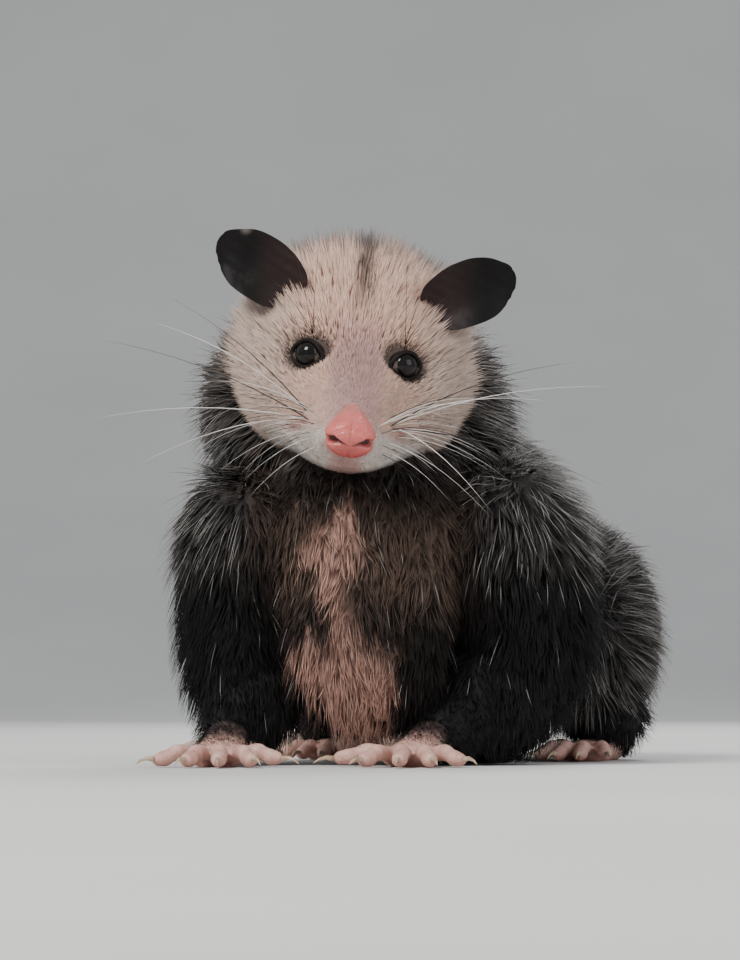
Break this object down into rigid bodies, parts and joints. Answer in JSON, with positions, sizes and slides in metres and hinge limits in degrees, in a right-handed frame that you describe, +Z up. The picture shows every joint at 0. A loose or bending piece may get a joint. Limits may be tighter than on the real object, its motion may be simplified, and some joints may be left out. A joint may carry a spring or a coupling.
{
  "type": "opossum figure",
  "caption": "Life-size still figure of a Virginia opossum crouching on all fours, facing front, with a pale face, black ears and a long bare tail.",
  "frame": {"origin": "on the floor under the middle of the animal's bounding box", "axes": "+Z up, the animal faces -Y, its left side is towards +X"},
  "size_m": [0.2416, 0.3802, 0.2166],
  "materials": {
    "face_fur": "short pale fur",
    "coat_fur": "long grey-black fur with white tips",
    "black_fur": "black fur",
    "chest_fur": "brown-grey fur with a pink-white patch",
    "bare_skin": "pink bare skin",
    "nose_skin": "moist pink skin",
    "ear_skin": "thin black bare skin",
    "tail_skin": "small scales, dark at the root and pale beyond",
    "eye": "wet gloss",
    "claw": "horn",
    "whisker": "stiff hair"
  },
  "bodies": {
    "root": {"head": "face_fur", "nose": "nose_skin", "neck": "coat_fur", "chest": "chest_fur", "belly": "coat_fur", "rump": "coat_fur", "eye_left": "eye", "ear_left": "ear_skin", "whiskers_left": "whisker", "upper_arm_left": "black_fur", "forearm_left": "black_fur", "hand_left": "bare_skin", "thigh_left": "coat_fur", "shank_left": "black_fur", "foot_left": "bare_skin", "claw_hand_left_1": "claw", "claw_hand_left_2": "claw", "claw_hand_left_3": "claw", "claw_hand_left_4": "claw", "claw_hand_left_5": "claw", "claw_foot_left_2": "claw", "claw_foot_left_3": "claw", "claw_foot_left_4": "claw", "claw_foot_left_5": "claw", "eye_right": "eye", "ear_right": "ear_skin", "whiskers_right": "whisker", "upper_arm_right": "black_fur", "forearm_right": "black_fur", "hand_right": "bare_skin", "thigh_right": "coat_fur", "shank_right": "black_fur", "foot_right": "bare_skin", "claw_hand_right_1": "claw", "claw_hand_right_2": "claw", "claw_hand_right_3": "claw", "claw_hand_right_4": "claw", "claw_hand_right_5": "claw", "claw_foot_right_2": "claw", "claw_foot_right_3": "claw", "claw_foot_right_4": "claw", "claw_foot_right_5": "claw", "tail_1": "tail_skin", "tail_2": "tail_skin", "tail_3": "tail_skin", "tail_4": "tail_skin", "tail_5": "tail_skin"}
  },
  "joints": []
}
